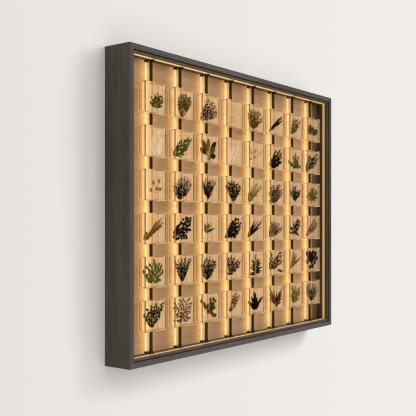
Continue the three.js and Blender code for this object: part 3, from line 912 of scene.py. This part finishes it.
PLANTS = {
    "r1_c1": specimen(
        60, 47, 12, -5, "#5c6420", "olive", "38,0",
        "5,31 20,64 42,90 64,94 84,85 96,68 94,45 92,18 64,9 22,8", broad=5, start=0.3
    ),
    "r2_c1": specimen(
        44, 78, 15, -3, "#fff0da", "pale", skeletons=[((10, 2), (60, 100), 31), ((60, 0), (96, 66), 17)]
    ),
    "r3_c1": specimen(
        54, 48, 7, -3, "#9c9040", "olive", "52,0", "32,70 79,84 8,26 84,30 55,30", way="branch",
        leaf="lance", long=15, broad=7.5, leaves=4, start=0.88, open=34, stem=0.6
    ),
    "r4_c1": specimen(
        86, 68, 0, -1, "#8a6d1c", "olive", "14,8 0,0", "92,96 99,78 90,64 74,52 66,80", way="branch",
        leaf="needle", long=15, broad=3, leaves=22, start=0.14, open=22, more_tips="14,28 22,12"
    ),
    "r5_c1": specimen(
        86, 74, -1, 2, "#668236", "green", "52,0",
        "4,48 16,70 30,88 54,96 76,90 93,72 97,46 88,18 10,22 50,60", gap=0.62, leaf="lobed", long=15,
        broad=8.4, start=0.25, open=42
    ),
    "r6_c1": specimen(
        86, 74, 1, 1, "#2c3614", "green", "36,0", "3,58 17,76 38,90 60,95 94,92 80,68 76,44 66,20",
        gap=0.66, long=11, broad=6.5, start=0.15
    ),
    "r1_c2": specimen(
        64, 76, 9, -4, "#6a5614", "olive", "27,0",
        "3,67 9,85 27,95 45,97 68,95 91,88 97,76 84,64 66,54 40,70", gap=0.52, leaf="spoon", long=7,
        start=0.42, stem=1.8
    ),
    "r2_c2": specimen(
        86, 70, 0, -4, "#50642a", "green", "4,4",
        "96,95 78,88 58,84 42,76 90,66 76,42 62,22 22,56 6,32 40,8", gap=0.46, leaf="lance", long=17,
        broad=6, start=0.1, open=26
    ),
    "r3_c2": specimen(
        86, 76, 0, -3, "#0d0a06", "dark", "30,0",
        "2,58 14,67 24,78 46,96 58,94 76,92 88,81 97,68 86,50 76,30 58,18 18,32 38,88", gap=0.45,
        leaf="needle", long=12, broad=2.7, start=0.15, open=20, stem=2.2
    ),
    "r4_c2": specimen(
        86, 76, 0, -1, "#14120f", "dark", "6,14",
        "96,95 76,97 58,92 43,74 24,50 24,8 52,4 76,14 92,52 97,74 68,60", gap=0.64, long=12, broad=7.4,
        start=0.1
    ),
    "r5_c2": specimen(
        78, 78, 0, 1, "#150e08", "dark", "46,0",
        "4,81 20,92 42,94 66,96 97,97 86,76 76,54 22,56 32,32 66,28", lobe=12, gap=0.53, leaf="needle",
        broad=3.6, start=0.15, open=38, stem=1.6
    ),
    "r6_c2": specimen(
        86, 78, 1, 2, "#5e4830", "pale", "42,0",
        "3,60 12,84 36,96 56,92 86,94 97,76 94,48 98,14 72,36 20,38 6,12 62,60", gap=0.85, broad=6,
        start=0.25, stem=1.1
    ),
    "r1_c3": specimen(
        86, 76, 1, -3, "#251a10", "brown", "2,2",
        "50,97 38,82 74,86 86,70 98,48 92,32 72,38 62,62 28,62 26,34 50,18", gap=0.72, leaf="lance",
        long=7, broad=4.2, start=0.2, stem=1.6
    ),
    "r2_c3": specimen(
        80, 74, -2, -3, "#8f7f24", "olive", "47,18", "14,94 2,52 47,98 97,92 94,62 96,20 60,0",
        leaf="spoon", broad=16, way="blades", start=0.12, accent="#2f3320"
    ),
    "r3_c3": specimen(
        70, 80, -2, -1, "#1b1611", "dark", "42,0",
        "2,68 8,88 24,96 42,99 60,97 80,93 97,90 84,70 20,70 60,72", gap=0.35, leaf="lance", long=15,
        broad=3, start=0.2, open=16, stem=2.6, lobe=9
    ),
    "r4_c3": specimen(
        50, 38, 2, 2, "#716f47", "pale", "16,4", "2,56 8,94 28,99 50,96 72,88 98,46 64,26", leaf="lance",
        broad=7, way="blades", start=0.05, accent="#3f4020"
    ),
    "r5_c3": specimen(
        76, 78, 0, -1, "#120e09", "dark", "38,0",
        "4,70 20,86 34,94 56,97 78,86 98,78 86,58 70,46 8,28 56,74", gap=0.57, start=0.15, open=36,
        stem=1.8
    ),
    "r6_c3": specimen(
        80, 68, -2, -2, "#5e5226", "olive", "62,20",
        "8,84 20,66 62,92 80,84 90,74 48,72 94,10 72,28 50,26 68,50", gap=0.68, leaf="spoon", long=14,
        broad=10, start=0.3
    ),
    "r1_c4": specimen(
        86, 78, 0, -1, "#e0bd88", "pale", "24,0", "8,72 26,90 48,98 68,94 88,82 98,60 78,44 60,66",
        way="branch", leaf="needle", broad=2.4, leaves=8, start=0.3, stem=0.6
    ),
    "r2_c4": specimen(
        54, 66, 8, -5, "#fae8cc", "pale", skeletons=[((0, 0), (40, 92), 11), ((30, 2), (98, 100), 14)]
    ),
    "r3_c4": specimen(
        80, 74, 1, -4, "#131007", "dark", "50,0",
        "2,80 18,92 34,96 52,97 78,92 98,76 84,56 70,40 28,56 60,20", gap=0.46, leaf="spoon", broad=4.4,
        start=0.22, open=34, stem=1.8
    ),
    "r4_c4": specimen(
        86, 74, 0, 0, "#171411", "dark", "2,8",
        "72,97 88,90 97,72 96,56 84,34 66,16 36,12 28,34 46,62 58,80 74,60", gap=0.56, long=11, broad=7,
        start=0.1, open=34, stem=1.8
    ),
    "r5_c4": specimen(
        78, 68, 1, 2, "#20180c", "brown", "24,2",
        "14,86 36,94 56,90 82,78 98,62 74,50 16,58 4,12 42,24 60,34 34,60", gap=0.62, long=8, start=0.2
    ),
    "r6_c4": specimen(
        60, 66, 9, 7, "#70492f", "brown", "4,0", "56,97 74,99 98,80 86,62 66,58 48,72 20,38 34,30",
        gap=0.7, long=8, start=0.45, stem=1.4
    ),
    "r1_c5": specimen(
        86, 76, 0, -1, "#66540c", "olive", "32,0",
        "2,68 2,48 12,82 24,97 40,86 54,84 70,84 84,80 98,54 84,40 66,28 8,28", gap=0.45, leaf="lance",
        long=15, start=0.15, open=24, stem=1.6
    ),
    "r2_c5": specimen(
        70, 44, 1, 2, "#8d7438", "pale", "36,0", "4,92 12,62 40,78 54,88 94,66 8,10 48,22", way="branch",
        leaf="lance", long=10, broad=5, leaves=3, start=0.75, stem=0.6
    ),
    "r3_c5": specimen(
        86, 70, 0, -4, "#7c6a24", "pale", "8,2", "98,82 88,90 68,97 54,88 34,76 14,40 74,64 60,40 28,14",
        way="branch", leaf="needle", long=13, broad=2.9, leaves=16, start=0.25, open=22, stem=1.0
    ),
    "r4_c5": specimen(
        86, 68, 0, 0, "#1d1813", "dark", "3,6",
        "98,90 90,82 82,68 68,97 53,92 38,84 28,64 70,58 58,44 46,36", leaf="lance", broad=6, way="blades",
        start=0.0
    ),
    "r5_c5": specimen(
        86, 80, 0, 0, "#1c1a0c", "olive", "46,0", "47,90", way="branch", leaf="lance", long=44, broad=8.4,
        leaves=20, start=0.06, open=72, stem=2, bow=0
    ),
    "r6_c5": specimen(
        80, 66, 0, -1, "#17130f", "dark", "52,8", "2,54 16,26 24,76 38,98 54,94 68,66 98,74 84,38",
        leaf="pod", broad=10, way="blades", start=0.05
    ),
    "r1_c6": specimen(
        86, 64, 0, -4, "#1e1a17", "dark", "0,0", "96,96 94,74 76,88 80,58", way="branch", leaf="needle",
        long=18, broad=3, leaves=34, start=0.02, open=14, stem=2.6
    ),
    "r2_c6": specimen(
        86, 80, 0, -2, "#15110d", "dark", "22,4",
        "2,30 16,48 30,58 52,90 62,82 76,94 88,97 98,86 97,60 94,40 78,24 48,8", gap=0.48, leaf="lance",
        long=17, broad=6.5, start=0.1, open=24, stem=1.8
    ),
    "r3_c6": specimen(
        86, 74, 0, -3, "#33291f", "brown", "26,0",
        "14,80 30,88 48,80 64,88 82,97 97,68 98,52 86,36 70,20 46,4 4,8 18,44 6,56", gap=0.58, long=8,
        broad=4, start=0.15
    ),
    "r4_c6": specimen(
        86, 66, 0, -3, "#261e17", "brown", "2,0",
        "8,50 22,84 40,97 58,84 78,78 98,50 80,34 56,24 30,16 36,58", gap=0.4, leaf="needle", long=11,
        broad=2, start=0.1, open=30, stem=1.4
    ),
    "r5_c6": specimen(
        86, 78, 0, 0, "#3c4026", "green", "0,18 66,10", "20,88 97,92 92,70 94,54 34,44 58,52 60,70",
        long=14, broad=6, start=0.15, open=36, stem=1.6, more_tips="92,2"
    ),
    "r6_c6": specimen(
        86, 80, 0, 2, "#8c6234", "brown", "48,14",
        "2,92 2,70 8,48 22,34 30,84 52,76 68,78 84,86 99,90 97,62 92,44 84,26 68,14 58,2 14,78 76,66",
        leaf="lance", broad=6.5, accent="#3c240f", way="blades", start=0.1
    ),
    "r1_c7": specimen(
        64, 64, 8, 0, "#5d5228", "olive", "12,2", "40,92 66,88 88,78 58,68 40,58 24,46 76,50 48,26",
        gap=0.5, leaf="lance", long=11, broad=4, start=0.1, open=28
    ),
    "r2_c7": specimen(
        86, 62, 0, -3, "#6a6a28", "green", "53,4", "58,90 78,72 96,14 82,30 40,66 4,34 24,28 54,34",
        gap=0.55, leaf="lobed", long=17, broad=9, start=0.2, open=25
    ),
    "r3_c7": specimen(
        70, 62, 5, 1, "#2e2c1a", "dark", "50,2",
        "12,62 32,84 54,90 76,72 96,64 84,42 46,46 28,36 54,10 70,18", gap=0.56, long=10, broad=6,
        start=0.15
    ),
    "r4_c7": specimen(
        70, 68, 0, 0, "#15130f", "dark", "50,22",
        "18,62 36,78 54,66 66,40 60,14 30,40 97,92 99,70 78,97 92,6 4,24 2,56", gap=0.57, long=13, broad=7,
        start=0.1, open=60, stem=0.8
    ),
    "r5_c7": specimen(
        74, 72, 4, 3, "#94802a", "olive", "6,0", "42,98 54,88 66,78 98,66 80,56 60,46 34,60", way="branch",
        leaf="needle", long=16, broad=4, leaves=20, open=18
    ),
    "r6_c7": specimen(
        62, 72, 7, 3, "#6e6a1a", "olive", "28,0", "24,97 50,94 86,82 96,66 78,46 82,22 18,68 14,46 50,30",
        gap=0.5, leaf="lance", long=12, broad=4, start=0.15, open=40
    ),
    "r1_c8": specimen(
        72, 46, 5, 1, "#66602f", "green", "34,0", "12,56 34,82 58,66 78,48 97,38 52,26 22,70", gap=0.45,
        broad=5, start=0.3, stem=0.9, lobe=32
    ),
    "r2_c8": specimen(
        86, 76, 0, -2, "#1a2c0e", "green", "3,0", "36,88 28,62 54,76 74,80 92,92 98,68 80,54 66,38 42,30",
        gap=0.65, long=14, broad=7, start=0.25, stem=2.2, bow=0.75
    ),
    "r3_c8": specimen(
        86, 70, 0, -2, "#7c7014", "olive", "48,44",
        "2,40 8,66 24,86 44,98 64,94 84,84 98,66 94,38 82,16 62,4 38,2 16,14", gap=0.37, leaf="needle",
        long=12, broad=3.2, start=0.05, open=30, stem=0.9, bow=0.1
    ),
    "r4_c8": specimen(
        80, 72, 0, 0, "#382c22", "brown", "0,0", "97,80 78,97 92,66", gap=0.46, leaf="needle", long=12,
        broad=2.4, start=0.3, open=20, stem=1.4
    ),
    "r5_c8": specimen(
        86, 78, 0, 1, "#151a1e", "dark", "44,30",
        "12,82 34,84 64,86 86,78 96,54 78,34 58,16 36,12 14,38 20,62 46,62 38,72 62,54 30,52 74,60 "
        "54,76 50,40", way="branch", leaf="pod", leaves=0, flower=10.5
    ),
    "r6_c8": specimen(
        86, 76, 0, 3, "#332315", "brown", "46,0",
        "10,62 16,86 34,92 26,36 66,92 84,84 96,60 88,34 62,50 46,40", gap=0.43, leaf="needle", long=12,
        broad=2.6, start=0.1, open=35, stem=1.4
    ),
}


def grow(name, plant):
    """One plant's mesh, fitted to its own width and height, about the middle of its box."""
    growth = Growth(name)
    wide, tall = (side * MM for side in plant["size"])
    # Painted light: all but the pale plants take a warm cast for the warm light on them.
    painted_cast = (1, 1, 1) if plant["slot"] == "leaf_pale" else PAINTED_WARM_CAST
    plant["tone"] = tuple(value * warm for value, warm in zip(linear(plant["colour"]), painted_cast))
    plant["long"] *= LONGER
    plant["broad"] *= BROADER
    plant["wood"] = tuple(0.75 * c for c in plant["tone"])
    accent = tuple(value * warm for value, warm in zip(linear(plant.get("accent", plant["colour"])), PAINTED_WARM_CAST))

    def place(spot):
        return (spot[0] / 100 * wide, spot[1] / 100 * tall)

    for foot, tip, breadth in plant.get("skeletons", []):
        growth.add_skeleton(place(foot), place(tip), breadth * MM, plant["tone"])
    for root, tips in zip(plant["roots"], plant["tips"]):
        start = place(root)
        ends = [place(tip) for tip in tips]
        pull = [sum(end[k] - start[k] for end in ends) for k in (0, 1)]
        size = math.hypot(*pull) or 1
        lean = [value / size for value in pull]
        paths = []
        for i, end in enumerate(ends):
            if plant["way"] == "blades":
                begin = [start[k] + (end[k] - start[k]) * plant["start"] for k in (0, 1)]
                heading = math.atan2(end[0] - begin[0], end[1] - begin[1])
                tone = accent if i % 2 else plant["tone"]
                lift = growth.random.uniform(0.4, 2.2) * MM
                length = math.dist(begin, end)
                growth.add_leaf(begin, heading, length, plant["broad"] * MM, plant["leaf"], tone, lift)
                stem = [(start[0], lift, start[1]), (begin[0], lift, begin[1])]
                growth.add_stem(stem, 1.2 * MM, 1.0 * MM, plant["wood"])
            else:
                paths.append(growth.add_branch(start, end, lean, plant))
        if plant["way"] == "spread":
            growth.spread_leaves(start, ends, paths, plant)
    fit(growth, wide, tall, plant["at"])
    return growth, plant["slot"]


def fit(growth, wide, tall, at):
    """Presses the plant, stretches it to its size and turns it about an upright line, off the sheet."""
    lows = [min(point[k] for point in growth.points) for k in range(3)]
    highs = [max(point[k] for point in growth.points) for k in range(3)]
    flat = min(1, PLANT_THICK / (highs[1] - lows[1]))
    turn = growth.random.uniform(0.7, 1.0) * (PLANT_ROOM - PLANT_THICK) / wide
    for point in growth.points:
        across = (point[0] - lows[0]) / (highs[0] - lows[0]) * wide
        up = (point[2] - lows[2]) / (highs[2] - lows[2]) * tall
        lift = (point[1] - lows[1]) * flat + turn * across
        point[0] = at[0] * MM + across - wide / 2
        point[1] = PLANT_BACK - lift
        point[2] = at[1] * MM + up - tall / 2


def make_plants():
    materials = {
        # The last number is the strength of a painted glow in the leaf's own colour, standing in for light
        # from behind.
        "leaf_green": leaf("leaf_green", 0.7, 0.35, 0.12),
        "leaf_olive": leaf("leaf_olive", 0.7, 0.35, 0.12),
        "leaf_dark": leaf("leaf_dark", 0.7, 0.35),
        "leaf_pale": leaf("leaf_pale", 0.75, 0.15, 0.33),
        "leaf_brown": leaf("leaf_brown", 0.75, 0.3),
    }
    pieces = []
    for column in range(COLUMNS):
        for row in range(ROWS):
            key = f"r{row + 1}_c{column + 1}"
            growth, slot = grow(key, PLANTS[key])
            mesh = bpy.data.meshes.new(f"specimen_{key}")
            mesh.from_pydata(growth.points, [], growth.faces)
            colours = mesh.color_attributes.new("tint", "FLOAT_COLOR", "POINT")
            colours.data.foreach_set("color", [value for tint in growth.tints for value in tint])
            piece = link_piece(f"specimen_{key}", mesh, materials[slot], [f"plant_{key}"])
            piece.location = (column_x(column), 0, row_z(row))
            pieces.append(piece)
    return pieces


# Stage
ROOM = (0.84, 0.81, 0.78)
ROOM_LIGHT = (1.0, 0.965, 0.93)
KEY_FROM = Vector((0.62, -0.66, 0.42)).normalized()
KEY_AWAY = 3.0
KEY_SIZE = 1.6
KEY_WATTS = 40
KEY_COLOUR = (1.0, 0.97, 0.94)
DIM_TOWARD = Vector((0.797, -0.604, 0.0)).normalized()
PAINTED_LIGHTER_TOWARD = Vector((0.604, -0.797, 0.0)).normalized()


def make_world():
    """Soft room light, stronger from the front right and above, with a dim part that keeps the boxes clear.

    The camera sees the colour of the wall, painted a little paler toward the right.
    """
    world = bpy.data.worlds.new("room")
    scene.world = world
    nodes = Nodes("room", world)
    nodes.tree.nodes.clear()
    where = nodes.add("ShaderNodeTexCoord").outputs["Generated"]

    def by_direction(toward, low, high, new_low, new_high, interpolation="LINEAR"):
        """A value for how near a direction is to the one given, from new_low to new_high."""
        facing = nodes.add("ShaderNodeVectorMath", operation="DOT_PRODUCT")
        nodes.put(facing.inputs[0], where)
        nodes.put(facing.inputs[1], toward)
        inputs = {"Value": facing.outputs["Value"], "From Min": low, "From Max": high}
        inputs.update({"To Min": new_low, "To Max": new_high})
        return nodes.add("ShaderNodeMapRange", inputs, interpolation_type=interpolation).outputs[0]

    spread = by_direction(KEY_FROM, -0.2, 1.0, 0.22, 1.25)
    dip = by_direction(DIM_TOWARD, 0.78, 0.94, 1.0, 0.02, "SMOOTHSTEP")
    # Painted light: the backdrop seen by the camera is a little paler toward the right.
    painted_backdrop_gradient = by_direction(PAINTED_LIGHTER_TOWARD, -0.27, 0.27, 0.96, 1.05)
    strength = nodes.math("MULTIPLY", spread, dip)
    light = nodes.add("ShaderNodeBackground", {"Color": (*ROOM_LIGHT, 1), "Strength": strength})
    seen = nodes.add("ShaderNodeBackground", {"Color": (*ROOM, 1), "Strength": painted_backdrop_gradient})
    camera_ray = nodes.add("ShaderNodeLightPath").outputs["Is Camera Ray"]
    choice = nodes.add("ShaderNodeMixShader", {"Fac": camera_ray})
    nodes.put(choice.inputs[1], light.outputs[0])
    nodes.put(choice.inputs[2], seen.outputs[0])
    nodes.add("ShaderNodeOutputWorld", {"Surface": choice.outputs[0]})


def make_lights():
    data = bpy.data.lights.new("key", "AREA")
    data.shape = "RECTANGLE"
    data.size = KEY_SIZE
    data.size_y = KEY_SIZE
    data.energy = KEY_WATTS
    data.color = KEY_COLOUR
    key = bpy.data.objects.new("key", data)
    key.location = KEY_FROM * KEY_AWAY
    key.rotation_euler = (-KEY_FROM).to_track_quat("-Z", "Y").to_euler()
    key.visible_glossy = False
    key.visible_transmission = False
    scene.collection.objects.link(key)


def make_stage():
    """A wall that only takes shadows, open behind the case so that its back shows, and a pale floor."""
    plain = Nodes("plain_wall")
    plain.set(Base_Color=(*ROOM, 1), Roughness=0.9)
    bm = bmesh.new()
    gap = 0.5 * MM
    inner = (HALF_WIDE + gap, HALF_TALL + gap)
    rings = [[bm.verts.new((sx * wide, gap, sz * tall)) for sx, sz in ((-1, -1), (1, -1), (1, 1), (-1, 1))]
             for wide, tall in (inner, (3.0, 2.0))]
    for i in range(4):
        following = (i + 1) % 4
        bm.faces.new((rings[0][i], rings[1][i], rings[1][following], rings[0][following]))
    wall = bpy.data.objects.new("wall", finished(bm, "wall", False))
    wall.data.materials.append(plain.material)
    wall.is_shadow_catcher = True
    bm = bmesh.new()
    low = -1.2
    corners = [(-3, -4, low), (3, -4, low), (3, -0.01, low), (-3, -0.01, low)]
    bm.faces.new([bm.verts.new(corner) for corner in corners])
    floor = bpy.data.objects.new("floor", finished(bm, "floor", False))
    floor.data.materials.append(plain.material)
    for obj in (wall, floor):
        scene.collection.objects.link(obj)


def dress_nodes():
    """Materials for the solids that stay."""
    strip = diffuser("perimeter_light", (0.88, 0.47, 0.09), 0.45)
    back = board()
    for name, material in (("perimeter_light", strip), ("back_board", back)):
        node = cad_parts[name]
        node.data.materials.clear()
        node.data.materials.append(material)


make_camera()
dress_nodes()
metal = black_metal()
parts = make_case() + make_panel() + make_clips(metal) + make_rods(metal) + make_boxes() + make_plants()
for part in parts:
    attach(part, "root")
make_world()
make_lights()
make_stage()
scene.view_settings.view_transform = "Standard"
